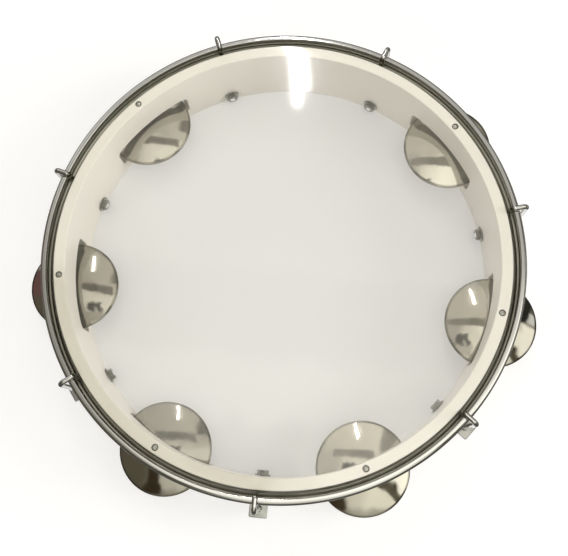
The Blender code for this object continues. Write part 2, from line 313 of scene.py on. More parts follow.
class Words:
    """Short words for building a node tree: add a node, set its sockets, link them."""

    def __init__(self, tree):
        self.tree = tree

    def add(self, kind, settings=None, **sockets):
        """A node; Some_Name=value sets an input by name and i3=value by number."""
        node = self.tree.nodes.new(kind if kind.startswith("NodeGroup") else "ShaderNode" + kind)
        for name, value in (settings or {}).items():
            setattr(node, name, value)
        for name, value in sockets.items():
            self.put(node, name.replace("_", " ") if name[0].isupper() else int(name[1:]), value)
        return Node(self, node)

    def put(self, node, socket, value):
        """Sets an input, or links a value to it. Colours are written without their alpha."""
        target = node.inputs[socket]
        if isinstance(value, Value):
            self.tree.links.new(value.socket, target)
        else:
            target.default_value = (*value, 1.0) if target.type == "RGBA" else value

    def math(self, operation, a, b=0.0):
        return self.add("Math", {"operation": operation}, i0=a, i1=b)[0]

    def between(self, value, low, high, to_low=0.0, to_high=1.0):
        """Smooth step of value from low to high."""
        ends = {"i1": low, "i2": high, "i3": to_low, "i4": to_high}
        return self.add("MapRange", {"interpolation_type": "SMOOTHSTEP"}, i0=value, **ends)[0]

    def noise(self, vector, scale, detail, roughness=0.55, distortion=0.0):
        shape = {"Detail": detail, "Roughness": roughness, "Distortion": distortion}
        return self.add("TexNoise", Vector=vector, Scale=scale, **shape)["Fac"]

    def mix(self, share, a, b, blend="MIX"):
        """Colour between a and b."""
        settings = {"data_type": "RGBA", "blend_type": blend}
        return self.add("Mix", settings, i0=share, i6=a, i7=b)[2]

    def attribute(self, name, output="Fac"):
        return self.add("Attribute", {"attribute_name": name})[output]

    def axes(self, vector):
        split = self.add("SeparateXYZ", Vector=vector)
        return split[0], split[1], split[2]

    def surface(self, first, second, share, output="Material Output"):
        """Mixes two shaders into the tree's surface."""
        both = self.add("MixShader", Fac=share, i1=first, i2=second)
        self.put(self.tree.nodes[output], "Surface", both[0])


def group(name, inputs, outputs):
    """A node group with named number or vector sockets, as (tree, its words, start, end)."""
    tree = bpy.data.node_groups.new(name, "ShaderNodeTree")
    for label, kind, value in inputs:
        socket = tree.interface.new_socket(name=label, in_out="INPUT", socket_type=kind)
        if value is not None:
            socket.default_value = value
    for label in outputs:
        tree.interface.new_socket(name=label, in_out="OUTPUT", socket_type="NodeSocketFloat")
    words = Words(tree)
    return tree, words, words.add("NodeGroupInput"), words.add("NodeGroupOutput")


def material(name, colour, roughness, metallic=0.0):
    """A material with its words, its shader and its Object coordinates."""
    mat = bpy.data.materials.new(name)
    mat.use_nodes = True
    words = Words(mat.node_tree)
    shader = mat.node_tree.nodes["Principled BSDF"]
    for socket, value in (("Base Color", colour), ("Roughness", roughness), ("Metallic", metallic)):
        words.put(shader, socket, value)
    return mat, words, shader, words.add("TexCoord")["Object"]


def use(words, tree, **sockets):
    """A node group placed in a material."""
    return words.add("Group", {"node_tree": tree}, **sockets)


def bump(words, shader, height, strength, distance):
    """Feeds a height to the shader's Normal through a Bump node."""
    node = words.add("Bump", Height=height, Strength=strength, Distance=distance)
    words.put(shader, "Normal", node["Normal"])


def retouched(words, shader, share, colour):
    """Mixes another colour over the shader's own, by a share."""
    own = Value(words, shader.inputs["Base Color"].links[0].from_socket)
    words.put(shader, "Base Color", words.mix(share, own, colour))


print("words", [word for word in vars(Words) if word[0] != "_"])

# %% [markdown]
# Hairlines come from a trick: a smooth noise crosses one half along thin winding lines, so a
# narrow band round one half is a net of fine curved scratches. Stretching the coordinates
# first makes them run one way.

# %% Shared groups: hairlines and smears
FLOAT, VECTOR = "NodeSocketFloat", "NodeSocketVector"

inputs = [("Vector", VECTOR, None), ("Scale", FLOAT, 60.0), ("Width", FLOAT, 0.01)]
hairlines, w, start, end = group("hairlines", inputs, ["Mask"])
lines = w.noise(start["Vector"], start["Scale"], 1.0, 0.4, 0.4)
off_middle = w.math("ABSOLUTE", lines - 0.5)
patchy = w.between(w.noise(start["Vector"], 21.0, 2.0), 0.5, 0.62)
thin = w.between(off_middle, start["Width"], 0.0)
w.put(end, "Mask", thin * patchy)

inputs = [("Vector", VECTOR, None), ("Scale", FLOAT, 20.0)]
smears, w, start, end = group("smears", inputs, ["Broad", "Fine"])
w.put(end, "Broad", w.noise(start["Vector"], start["Scale"], 2.0, 0.5))
finer = start["Scale"] * 9.0
w.put(end, "Fine", w.noise(start["Vector"], finer, 4.0, 0.6))

polar, w, start, end = group("polar", [("Vector", VECTOR, None)], ["Radius", "Angle", "Height"])
x, y, z = w.axes(start["Vector"])
w.put(end, "Radius", w.math("SQRT", x * x + y * y))
w.put(end, "Angle", w.math("ARCTAN2", y, x))
w.put(end, "Height", z)
print("groups", [g.name for g in bpy.data.node_groups])

# %% [markdown]
# ## Moulded ivory plastic
#
# The ring is a cast or moulded plastic in warm ivory. It is almost plain, so what makes it
# real is slight: a slow change of tone, a fine grain that softens its shine, faint turning
# marks on the bearing edge that the film lies on, and a little grime in scattered scuffs.
# One stretch of that edge is made darker and yellower, and the pins' holes and the slots are
# painted darker, as painted shade in these recesses.
# The last mix darkens the ring a little, but only in what the polished domes mirror.

# %% Finish: ivory shell
ivory, w, shader, place = material("moulded_ivory", (0.90, 0.86, 0.79), 0.38)
tone = use(w, smears, Vector=place, Scale=14.0)
scuff = use(w, hairlines, Vector=place, Scale=48.0, Width=0.006)
polar_place = use(w, polar, Vector=place)
radius, angle, height = (polar_place[i] for i in range(3))
turning = w.noise(w.add("CombineXYZ", X=radius)[0], 2600.0, 1.0, 0.4)
on_edge = w.between(height, -0.0012, -0.0008)
clean = w.mix(w.between(tone["Broad"], 0.35, 0.65), (0.915, 0.87, 0.8), (0.885, 0.845, 0.78))
speck = w.between(tone["Fine"], 0.66, 0.74)
marked = w.mix(speck * 0.1, clean, (0.45, 0.4, 0.31))
scuffed = w.mix(scuff["Mask"] * 0.18, marked, (0.6, 0.56, 0.46))
turned = angle + tone["Broad"] * 0.12
# A stretch of the bearing edge between these angles is made darker and yellower.
stretch = w.between(turned, -2.99, -2.84) * w.between(turned, -1.36, -1.5)
stretch = stretch * w.between(height, -0.0022, -0.001)
darker_stretch = w.mix(stretch * 0.85, scuffed, (0.7, 0.665, 0.565))
from_grip = w.math("FLOORED_MODULO", w.math("DEGREES", angle) - 90.0, 360.0)
bay = (from_grip - GRIP_BAY / 2) / JINGLE_BAY
off_pin = w.math("FRACT", bay) - 0.5
along = off_pin * (radians(JINGLE_BAY) * PIN_CIRCLE)
across = radius - PIN_CIRCLE
to_pin = w.math("SQRT", along * along + across * across)
# Painted shade: a dark ring inside each pin's countersunk hole.
in_hole = w.between(to_pin, 0.0024, 0.0021) * w.between(height, -0.004, -0.003)
painted_hole_shade = w.mix(in_hole * 0.9, darker_stretch, (0.09, 0.082, 0.06))
# Painted shade inside the slots, on their walls between the outer and inner faces.
in_wall = w.between(radius, 0.1439, 0.1446) * w.between(radius, 0.1511, 0.1504)
in_slot = w.between(height, -0.0244, -0.0256) * w.between(height, -0.0442, -0.043)
painted_slot_shade = w.mix(in_wall * in_slot * 0.75, painted_hole_shade, (0.3, 0.28, 0.21))
in_mirror = w.add("LightPath")["Glossy Depth"] > 0.5
w.put(shader, "Base Color", w.mix(in_mirror * 0.5, painted_slot_shade, (0.22, 0.205, 0.15)))
w.put(shader, "Roughness", w.between(tone["Fine"], 0.3, 0.7, 0.33, 0.46))
grain = w.noise(place, 900.0, 2.0, 0.5)
turned_marks = turning * (on_edge * 0.8)
bump(w, shader, grain + turned_marks, 0.12, 0.0001)
w.put(shader, "IOR", 1.49)
print("ivory", len(w.tree.nodes), "nodes")

# %% [markdown]
# ## Plated, zinc plated and polished metals
#
# Bright plating is a mirror with faint hairlines. Zinc plate is duller and slightly mottled.
# The jingles are polished sheet with a warm nickel tone: they were turned while they were
# polished, so their finest marks run round the pin's axis. That pattern reads the attribute
# "own", which holds each point's place from its own cup's centre. A hook is painted darker
# at its claw's tip, a painted dark reflection, and the channel is painted lighter on its far
# half, a painted highlight.

# %% Finish: metals
def metal(name, colour, dark, rough_low, rough_high, scale, ridge):
    """A bare metal whose tone and shine vary a little, with hairline scratches."""
    mat, w, shader, place = material(name, colour, rough_low, 1.0)
    spread = use(w, smears, Vector=place, Scale=scale)
    lines = use(w, hairlines, Vector=place, Scale=scale * 6.0, Width=0.008)
    tint = w.mix(w.between(spread["Broad"], 0.3, 0.7), colour, dark)
    w.put(shader, "Base Color", tint)
    shine = w.between(spread["Fine"], 0.3, 0.75, rough_low, rough_high)
    w.put(shader, "Roughness", shine + lines["Mask"] * 0.12)
    bump(w, shader, spread["Fine"] + lines["Mask"], ridge, 4e-05)
    return mat, w, shader, place


plate = (0.80, 0.80, 0.785)
bright_plate = metal("bright_plate", plate, (0.74, 0.74, 0.72), 0.07, 0.14, 30.0, 0.10)[0]
hook_plate, w, shader, place = metal(
    "hook_plate", plate, (0.72, 0.72, 0.70), 0.07, 0.13, 60.0, 0.10
)
# Painted dark reflection on each claw's tip, read from a mask stored on the hook's points.
retouched(w, shader, w.attribute("rubbing_and_tip_shade"), (0.20, 0.19, 0.15))
zinc = metal("zinc_plate", (0.50, 0.505, 0.485), (0.34, 0.345, 0.325), 0.16, 0.30, 90.0, 0.35)[0]
dark_zinc = metal("dark_zinc", (0.34, 0.335, 0.305), (0.20, 0.195, 0.17), 0.16, 0.30, 90.0, 0.35)[0]
channel, w, shader, place = metal(
    "channel_metal", (0.50, 0.48, 0.41), (0.38, 0.36, 0.30), 0.28, 0.42, 40.0, 0.30
)
# Painted highlight: the channel's colour is painted lighter toward +Y.
retouched(w, shader, w.between(w.axes(place)[1], -0.03, 0.06), (0.92, 0.90, 0.80))
pin_steel = metal("pin_steel", (0.58, 0.57, 0.52), (0.46, 0.45, 0.41), 0.22, 0.38, 120.0, 0.30)[0]

nickel, w, shader, place = material("jingle_nickel", (0.60, 0.57, 0.50), 0.10, 1.0)
from_pin = use(w, polar, Vector=w.attribute("own", "Vector"))["Radius"]
spread = use(w, smears, Vector=place, Scale=26.0)
lines = use(w, hairlines, Vector=place, Scale=110.0, Width=0.007)
rings = w.noise(w.add("CombineXYZ", X=from_pin)[0], 3200.0, 2.0, 0.5)
tint = w.mix(w.between(spread["Broad"], 0.3, 0.7), (0.63, 0.6, 0.525), (0.56, 0.535, 0.47))
polish = w.attribute("polish")
tint = w.mix(1.0, tint, w.add("CombineColor", i0=polish, i1=polish, i2=polish)[0], "MULTIPLY")
# Painted shade: a darker band round each cup's rim, where the two cups meet.
at_rim = w.between(from_pin, 0.0289, 0.0304)
rimmed = w.mix(at_rim * 0.75, tint, (0.22, 0.205, 0.165))
w.put(shader, "Base Color", rimmed)
shine = w.between(spread["Fine"], 0.3, 0.75, 0.055, 0.11)
w.put(shader, "Roughness", shine + lines["Mask"] * 0.1)
dent = w.noise(place, 75.0, 1.0, 0.4)
relief = rings * 0.02 + dent * 1.0
bump(w, shader, relief, 0.55, 0.00035)
print("materials", len(bpy.data.materials))

# %% [markdown]
# ## The clear head
#
# The head is a clear polyester film. Seen from above it shows what is under it, and mirrors a
# lamp as a white streak. It is left bare, as plain heads are sold. Glass with a real
# thickness would stop the lamps' own rays, so for those rays a Mix Shader puts in a nearly
# clear Transparent one. Playing leaves a faint haze and fine rubbed lines, which soften the
# edge of the streak.

# %% Finish: clear film
film, w, shader, place = material("clear_film", (0.975, 0.975, 0.965), 0.09)
haze = use(w, smears, Vector=place, Scale=7.0)
rubbing_and_tip_shade = use(w, hairlines, Vector=place, Scale=36.0, Width=0.004)
w.put(shader, "Roughness", w.between(haze["Broad"], 0.35, 0.7, 0.042, 0.052))
for socket, value in (
    ("Transmission Weight", 1.0), ("IOR", 1.5), ("Coat Weight", 0.35), ("Coat Roughness", 0.17)
):
    w.put(shader, socket, value)
bump(w, shader, rubbing_and_tip_shade["Mask"] + haze["Broad"], 0.1, 4e-05)
clear = w.add("BsdfTransparent", Color=(0.96, 0.96, 0.95))
ray = w.add("LightPath")
lamp_ray = w.math("MAXIMUM", ray["Is Shadow Ray"], ray["Is Diffuse Ray"])
w.surface(Value(w, shader.outputs["BSDF"]), clear["BSDF"], lamp_ray)
print("film", len(w.tree.nodes), "nodes")

# %% [markdown]
# ## The shell
#
# The ring's wall has six long slots with round corners. A plain turned ring can't have them,
# and a Boolean with a box would leave hard slot edges. So each bay is laid out round its
# slot: one direction of the grid goes round the slot, the other starts at the bay's border
# on the outer face, comes to the slot, rounds its edge, goes through the wall, rounds the
# inner edge and ends at the border on the inner face.

# %% Shell measures
SHELL_OUTER, SHELL_INNER = 151.3 * MM, 143.7 * MM
SHELL_TOP, SHELL_BOTTOM, SHELL_EDGE = -0.6 * MM, -52.7 * MM, 0.7 * MM
SLOT_TOP, SLOT_BOTTOM, SLOT_HALF = -25.2 * MM, -43.4 * MM, 32.4 * MM
SLOT_CORNER, SLOT_EDGE = 3.5 * MM, 0.6 * MM
wall_top = SHELL_TOP - SHELL_EDGE
wall_bottom = SHELL_BOTTOM + SHELL_EDGE


def slot_outline(grow):
    """The slot's outline, grown by a distance, as arrays of x along the wall and height z.

    In words: four straight sides with evenly spread points, and between them quarter circles
    whose radius grows with the outline.
    """
    c = SLOT_CORNER + grow
    right, left = SLOT_HALF - SLOT_CORNER, -SLOT_HALF + SLOT_CORNER
    top, low = SLOT_TOP - SLOT_CORNER, SLOT_BOTTOM + SLOT_CORNER
    wide, high = np.linspace(0, 1, 33)[:-1], np.linspace(0, 1, 7)[:-1]
    quarter = np.linspace(0, pi / 2, 9)[:-1]
    parts = []
    for (x0, z0), (x1, z1), (x, z), turn, share in (
        ((left, top + c), (right, top + c), (right, top), pi / 2, wide),
        ((right + c, top), (right + c, low), (right, low), 0.0, high),
        ((right, low - c), (left, low - c), (left, low), -pi / 2, wide),
        ((left - c, low), (left - c, top), (left, top), -pi, high),
    ):
        parts.append(np.stack([x0 + (x1 - x0) * share, z0 + (z1 - z0) * share], -1))
        bend = turn - quarter
        parts.append(np.stack([x + c * np.cos(bend), z + c * np.sin(bend)], -1))
    return np.concatenate(parts)


def bay_border(half_angle):
    """The bay's border, one point for each of the slot outline's, as angle and height.

    In words: the outline's point is scaled until it meets the border's rectangle, and the
    point nearest each corner is moved into it.
    """
    u = slot_outline(0.0)[:, 0] / SLOT_HALF
    middle = (SLOT_TOP + SLOT_BOTTOM) / 2
    v = (slot_outline(0.0)[:, 1] - middle) / (SLOT_TOP - middle)
    scale = np.maximum(np.abs(u), np.abs(v))
    u, v = u / scale, v / scale
    for across in (-1, 1):
        for up in (-1, 1):
            nearest = np.argmin(np.hypot(u - across, v - up))
            u[nearest], v[nearest] = across, up
    height = (wall_top + wall_bottom) / 2 + v * (wall_top - wall_bottom) / 2
    return u * half_angle, height, u, v


def shell_bay(middle_angle, half_angle):
    """One bay with its slot, from the outer border through the slot to the inner border."""
    rows = []

    def on_wall(grow, radius):
        x, height = slot_outline(grow).T
        return np.arcsin(x / radius), height, radius

    for radius, inward, order in ((SHELL_OUTER, -1, 1), (SHELL_INNER, 1, -1)):
        ends = list(zip(on_wall(SLOT_EDGE, radius), (*bay_border(half_angle)[:2], radius)))
        side = [[s + (b - s) * t for s, b in ends] for t in np.linspace(1, 0, 9) ** 1.6]
        for a in np.linspace(0, pi / 2, 5)[1:]:
            depth = inward * SLOT_EDGE * (1 - cos(a))
            side.append(on_wall(SLOT_EDGE * (1 - sin(a)), radius + depth))
        side.append(on_wall(0.0, radius + inward * (SLOT_EDGE + 0.5 * MM)))
        rows += side[::order]
    return np.stack([spun(r, middle_angle + a, h) for a, h, r in rows])


half_bay, half_grip = radians(JINGLE_BAY / 2), radians(GRIP_BAY / 2)
angle, height, u, v = bay_border(half_bay)
top_angles, low_angles = (np.sort(angle[np.isclose(v, end)]) for end in (1, -1))
side_heights = np.sort(height[np.isclose(u, 1)])
patches = [squares(shell_bay(a, half_bay), wrap_columns=True) for a in set_angles]
print("a slot bay has", patches[0][1].shape[0], "faces")

# %% [markdown]
# The grip bay has no slot, so it is a plain grid. Then the rounded upper and lower edges go
# all the way round, at the same angles as the bays, so that every point meets its neighbour.

# %% Shell: grip bay, edges, drilled holes
grip_angles = np.linspace(-half_grip, half_grip, 29) + pi / 2
for radius in (SHELL_OUTER, SHELL_INNER):
    patches.append(squares(spun(radius, grip_angles[:, None], side_heights)))


def edge_strip(angles, top):
    """The rounded upper or lower edge of the wall over a bay.

    In words: a quarter circle, the flat with a fine row beside each of its edges, and a
    quarter circle down the other side.
    """
    quarter = np.linspace(0, pi / 2, 7)
    sign, level = (1, SHELL_TOP) if top else (-1, SHELL_BOTTOM)
    e = SHELL_EDGE
    outside = np.stack([SHELL_OUTER - e + e * np.cos(quarter), e * np.sin(quarter) - e], -1)
    inside = np.stack([SHELL_INNER + e - e * np.cos(quarter), e * np.sin(quarter) - e], -1)
    flat = np.array([[SHELL_OUTER - 1.3 * MM, 0.0], [SHELL_INNER + 1.3 * MM, 0.0]])
    section = np.concatenate([outside, flat, inside[::-1]])
    return spun(section[:, 0], angles[:, None], level + sign * section[:, 1])


for top, angles in ((True, top_angles), (False, low_angles)):
    for middle in set_angles:
        patches.append(squares(edge_strip(middle + angles, top)))
    patches.append(squares(edge_strip(grip_angles, top)))
SCREW_LEVEL = -46.0 * MM


def upright_drill(section, radius, a):
    """A turned tool that stands upright at a radius and an angle."""
    return squares(ring(section, 32, (radius * cos(a), radius * sin(a))), wrap_rows=True)


def level_drill(a):
    """A rod as a tool that points out of the drum at the level of the bracket screws."""
    bore = mm([[0, 165], [2.25, 165], [2.25, 130], [0, 130]])
    return squares(pointing_outward(ring(bore, 32), a, SCREW_LEVEL), wrap_rows=True)


hole = mm([[0, 2], [2.2, 2], [2.2, -0.55], [2.05, -1.5], [1.6, -1.9], [1.6, -50], [0, -50]])
drills = [upright_drill(hole, PIN_CIRCLE, a) for a in set_angles]
drills += [level_drill(a) for a in hook_angles]
shell_mesh = cut_away(welded("shell", patches, 50), welded("drills", drills, 60), 50)
piece(shell_mesh, ivory, "frame", "shell", slot="shell_plastic")
print("shell", len(shell_mesh.polygons), "faces")

# %% [markdown]
# ## Head, flesh hoop and tension hoop
#
# These are true turned pieces. The film's section goes flat over the shell, rounds its edge,
# runs straight down, steps outward and ends in the groove of the flesh hoop. The tension
# hoop is a flat bar on edge with rounded corners, and its round corners are what draws the
# bright and dark lines round the drum.

# %% Film head
def turned_piece(name, section, steps, finish, slot, closed=True):
    """A closed section, or one that starts and ends on the axis, carried round as a piece."""
    mesh = welded(name, [squares(ring(section, steps), True, closed)], 60)
    piece(mesh, finish, "frame", name, slot=slot)
    print(name, len(section), "points in the section,", len(mesh.polygons), "faces")


FILM = 0.3 * MM
over = mm([[152.1, 0.0], [152.1, -3.2], [154.65, -6.4], [154.65, -10.6]])
outer_line = rounded(np.vstack([[[0, 0]], over]), mm([0, 1.1, 0.8, 0.6, 0]), 8, False)
shift = mm([[0, -0.3], [-0.3, -0.3], [-0.3, -0.13], [-0.3, -0.13], [-0.3, 0]])
inner_corners = np.vstack([[[0, 0]], over]) + shift
inner_line = rounded(inner_corners, mm([0, 0.8, 1.1, 0.3, 0]), 8, False)
face_rows = np.array([0.1, 0.35, 0.6, 0.8, 0.93, 0.985])[:, None] * np.array([[149.5 * MM, 0]])
upper = [outer_line[:1], face_rows, outer_line[9:]]
lower = [inner_line[9:][::-1], face_rows[::-1] - [0, FILM], inner_line[:1]]
film_section = np.concatenate(upper + lower)
turned_piece("head_film", film_section, 300, film, "clear_film", False)

# %% Flesh hoop: an open channel
flesh_corners = mm(
    [[158.2, -6.8], [158.2, -13.5], [152.3, -13.5], [152.3, -7.4], [153.9, -7.4],
     [153.9, -11.0], [155.1, -11.0], [155.1, -6.8]]
)
flesh_radii = mm([0.8, 1.0, 0.8, 0.6, 0.4, 0.2, 0.2, 0.4])
turned_piece("flesh_hoop", rounded(flesh_corners, flesh_radii, 4), 300, channel, "flesh_metal")

# %% Tension hoop: flat bar on edge
hoop_corners = mm([[160.0, 1.0], [160.0, -6.5], [155.8, -6.5], [155.8, 1.0]])
hoop_section = rounded(hoop_corners, mm([2.5, 1.2, 0.5, 0.6]), 10)
turned_piece("tension_hoop", hoop_section, 360, bright_plate, "plated_steel")

# %% [markdown]
# ## Hooks
#
# Each hook is a steel rod, bent over the hoop at its top and threaded at its lower end, where
# it goes through the bracket's flange into a nut. A rod along a path is a circle carried
# along it. The thread is part of the same surface: the circle's radius swells and shrinks
# with distance along the path minus the angle round it, which draws a helix.

# %% Hooks
ROD, LEG = 1.75 * MM, 164.2 * MM
CLAW, CLAW_LEVEL = 154.15 * MM, 3.03 * MM
THREAD_PITCH, THREAD_DEPTH = 0.7 * MM, 0.22 * MM
THREADED, TIP = 15.0 * MM, 0.8 * MM


def carried(path, distances, step, y, n):
    """A cross section carried along a path in the XZ plane, as a grid of points.

    In words: at each distance the path gives a point, and its direction comes from the points
    a step before and after. y is a place across the path and n one along its normal.
    """
    length = np.concatenate([[0], np.cumsum(np.hypot(*np.diff(path, axis=0).T))])

    def on_path(s):
        return np.stack([np.interp(s, length, path[:, i]) for i in (0, 1)], -1)

    at, way = on_path(distances), on_path(distances + step) - on_path(distances - step)
    way /= np.linalg.norm(way, axis=1, keepdims=True)
    return np.stack([at[:, :1] - way[:, 1:] * n, y + 0 * n, at[:, 1:] + way[:, :1] * n], -1)


def path_length(path):
    """The length of a path of straight steps."""
    return np.hypot(*np.diff(path, axis=0).T).sum()


hook_corners = np.array([[LEG, -48 * MM], [LEG, CLAW_LEVEL], [CLAW, CLAW_LEVEL], [CLAW, -3.6 * MM]])
hook_line = rounded(hook_corners, mm([0, 3.2, 2.2, 0]), 24, False)
hook_line = hook_line[np.r_[0, 25:75, 99]]
hook_length = path_length(hook_line)


def hook_radius(distance, angle):
    """Rod radius: thread near the lower end, rounded off over the last part at each end."""
    turn = 2 * pi * distance / THREAD_PITCH - angle
    swell = THREAD_DEPTH * (0.5 + 0.5 * np.cos(turn))
    low = np.clip(distance / TIP, 0, 1)
    high = np.clip((hook_length - distance) / MM, 0, 1)
    fade = np.clip((THREADED - distance) / (1.4 * MM), 0, 1) * low
    end_round = np.sqrt(1 - (1 - low) ** 2) * np.sqrt(1 - (1 - high) ** 2)
    return (ROD - swell * fade) * end_round


marks = (0, TIP, THREADED, hook_length - 20 * MM, hook_length - MM)
hook_rows = [np.linspace(a, b, n)[:-1] for a, b, n in zip(marks, marks[1:], (7, 150, 10, 48))]
hook_rows.append(hook_length - MM * (1 - np.sin(np.linspace(0, pi / 2, 9))))
hook_rows = np.concatenate(hook_rows)
rod_angle = all_round(28).T
rod = hook_radius(hook_rows[:, None], rod_angle)
rod_section = rod * np.sin(rod_angle), rod * np.cos(rod_angle)
hook_grid = carried(hook_line, hook_rows, 0.02 * MM, *rod_section)
# Inside this radius, on the claw's tip, a hook gets its painted dark reflection.
TIP_SHADE_FROM = 155.3 * MM
for k, a in enumerate(hook_angles, 1):
    mesh = welded(f"hook_{k}", [squares(turned_about_z(hook_grid, a), wrap_columns=True)], 60)
    outward = np.hypot(*points_of(mesh)[:, :2].T.astype(float))
    with_values(mesh, "rubbing_and_tip_shade", np.clip((TIP_SHADE_FROM - outward) / MM, 0, 1))
    piece(mesh, hook_plate, "frame", f"hook_{k}", slot="plated_steel")
print("hook", len(mesh.polygons), "faces,", round(hook_length / MM, 1), "mm long")

# %% [markdown]
# ## Brackets
#
# A bracket is one strip of plate, bent once. Its cross section, a flat rectangle with rounded
# edges, is carried along the bent line; near the tip it gets narrower along a quarter circle,
# which rounds the corners. The two holes are cut afterwards.

# %% Brackets
PLATE, PLATE_EDGE, HALF_WIDTH = 1.5 * MM, 0.40 * MM, 6.0 * MM
PLATE_BACK, FLANGE_TOP = 151.6 * MM, -36.5 * MM
plate_mid, flange_mid = PLATE_BACK + PLATE / 2, FLANGE_TOP - PLATE / 2
plate_corners = np.array([[plate_mid, -51.5 * MM], [plate_mid, flange_mid], [170 * MM, flange_mid]])
plate_line = rounded(plate_corners, mm([0, 1.75, 0]), 16, False)[np.r_[0, 17:34, 50]]
plate_length = path_length(plate_line)


def strip_section(half_width, half_thick):
    """The cross sections of a flat strip with rounded edges: places across and along the normal.

    In words: each is a rectangle of the given half width and half thickness, whose corners
    are arcs and whose flats have a point beside each arc.
    """
    w2, h2 = half_width[:, None], half_thick[:, None]
    e = np.minimum(PLATE_EDGE, h2)
    inset = w2 - e - 0.35 * MM
    quarter = np.linspace(0, pi / 2, 5)
    ys, ns = [], []
    for q, (sy, sn) in enumerate(((1, 1), (-1, 1), (-1, -1), (1, -1))):
        bend = quarter + q * pi / 2
        ys.append(sy * (w2 - e) + e * np.cos(bend))
        ns.append(sn * (h2 - e) + e * np.sin(bend))
        if q in (0, 2):
            ys += [sy * inset, -sy * inset]
            ns += [sn * h2, sn * h2]
    return np.concatenate(ys, 1), np.concatenate(ns, 1)


def plate_half_width(s):
    """Half width: narrower along a quarter circle over the last millimetre."""
    left = np.clip((plate_length - s) / MM, 0, 1)
    return HALF_WIDTH - MM * (1 - np.sqrt(1 - (1 - left) ** 2))


def plate_half_thick(s):
    """Half thickness: rounded off over the last 0.4 mm at both ends."""
    near = np.minimum(s, plate_length - s)
    inside = np.clip(near / PLATE_EDGE, 0, 1)
    return PLATE / 2 - PLATE_EDGE * (1 - np.sqrt(1 - (1 - inside) ** 2))


end_steps = PLATE_EDGE * (1 - np.cos(np.linspace(0, pi / 2, 5)))
flat_rows = np.linspace(PLATE_EDGE, plate_length - MM, 40)
tip_rows = plate_length - MM * (1 - np.sin(np.linspace(0.1, 0.6, 5)))
plate_rows = [end_steps[:-1], flat_rows, tip_rows, plate_length - end_steps[::-1]]
plate_rows = np.unique(np.concatenate(plate_rows).round(8))
section = strip_section(plate_half_width(plate_rows), plate_half_thick(plate_rows))
plate_grid = carried(plate_line, plate_rows, 0.05 * MM, *section)


def end_line(row):
    """An end's loop drawn together onto its middle line, which closes that end."""
    return np.where([False, True, False], row, row.mean(0))[None]


rod_hole = mm([[0, -20], [2.2, -20], [2.2, -60], [0, -60]])
plate_grid = np.concatenate([end_line(plate_grid[0]), plate_grid, end_line(plate_grid[-1])])
for k, a in enumerate(hook_angles, 1):
    grid = turned_about_z(plate_grid, a)
    blank = welded(f"bracket_{k}", [squares(grid, wrap_columns=True)], 40)
    drills = welded("drills", [upright_drill(rod_hole, LEG, a), level_drill(a)], 60)
    mesh = cut_away(blank, drills, 40)
    piece(mesh, zinc, "frame", f"bracket_{k}", slot="zinc_plate")
print("bracket", len(mesh.polygons), "faces")

# %% [markdown]
# ## Nuts
#
# A hexagon in polar form is flats / 2 / cos(angle from the middle of the nearest side). The
# turned chamfer on a real nut is a cone, so the radius is the smaller of the hexagon's and
# the cone's. That alone gives the curved lines where the flats meet the chamfer.

# %% Nuts
NUT_FLATS = 7.0 * MM
nut_angle = all_round(72)
hexagon = NUT_FLATS / 2 / np.cos((nut_angle + pi / 6) % (pi / 3) - pi / 6)


def hexed(rows):
    """Rows of (height, limit) as radii and heights: the radius is the smaller of the hexagon's
    and the limit."""
    height, limit = np.array(rows).T
    return np.minimum(hexagon, limit), height


def chamfer(face, way):
    """Rows from a nut's face, over its chamfer, to its side; way is +1 or -1 along the axis."""
    corner, start = NUT_FLATS / 2 / cos(pi / 6), NUT_FLATS / 2 * 0.97
    across = (corner - start) * np.linspace(0, 1, 6)
    return [(face + way * 0.5 * t, start + t) for t in across]


nut_top = FLANGE_TOP - PLATE - 0.3 * MM
nut_low = nut_top - 5.0 * MM
NUT_BORE, MOUTH = 1.9 * MM, 0.25 * MM
bore_rows = [(nut_top, NUT_BORE + MOUTH), (nut_top - MOUTH, NUT_BORE)]
bore_rows += [(nut_low + MOUTH, NUT_BORE), (nut_low, NUT_BORE + MOUTH)]
radius, height = hexed(chamfer(nut_low, 1) + chamfer(nut_top, -1)[::-1] + bore_rows)
tension_grid = spun(radius, nut_angle, height)
for k, a in enumerate(hook_angles, 1):
    grid = tension_grid + np.array([LEG, 0, 0])
    mesh = welded(f"tension_nut_{k}", [squares(turned_about_z(grid, a), True, True)], 28)
    piece(mesh, zinc, "frame", f"tension_nut_{k}", slot="zinc_plate")
print("tension nut", len(mesh.polygons), "faces")

# %% Flanged nuts inside the shell
# Hexagon rows, then round rows for the flange that lies on the wall, then the bore.
FACE = 143.25 * MM
outer_nut = FACE - 3.6 * MM
radius, height = hexed(chamfer(outer_nut, 1) + [(FACE - 1.15 * MM, 4.2 * MM)])
flange_corners = mm([[4.0, -1.0], [5.4, -0.85], [5.4, 0], [2.1, 0]]) + [0, FACE]
flange = rounded(flange_corners, mm([0, 0.3, 0.15, 0]), 4, False)[np.r_[0, 5:16, 19]]
back = np.array([[2.1 * MM, outer_nut + 0.2 * MM], [2.35 * MM, outer_nut]])
round_part = np.concatenate([flange, back])
round_radius = np.broadcast_to(round_part[:, 0], (len(nut_angle), len(round_part)))
radius = np.concatenate([radius, round_radius], 1)
flanged_grid = spun(radius, nut_angle, np.concatenate([height, round_part[:, 1]]))
for k, a in enumerate(hook_angles, 1):
    grid = pointing_outward(flanged_grid, a, SCREW_LEVEL)
    mesh = welded(f"bracket_nut_{k}", [squares(grid, True, True)], 28)
    piece(mesh, dark_zinc, "frame", f"bracket_nut_{k}", slot="zinc_plate")
print("flanged nut", len(mesh.polygons), "faces")

# %% [markdown]
# ## Bracket screws
#
# A low round head outside, a threaded shank through plate and wall, and a chamfered end that
# stands out of the nut. Head and shank are one turned surface whose radius carries the
# thread; the straight recess in the head is cut with a thin block.

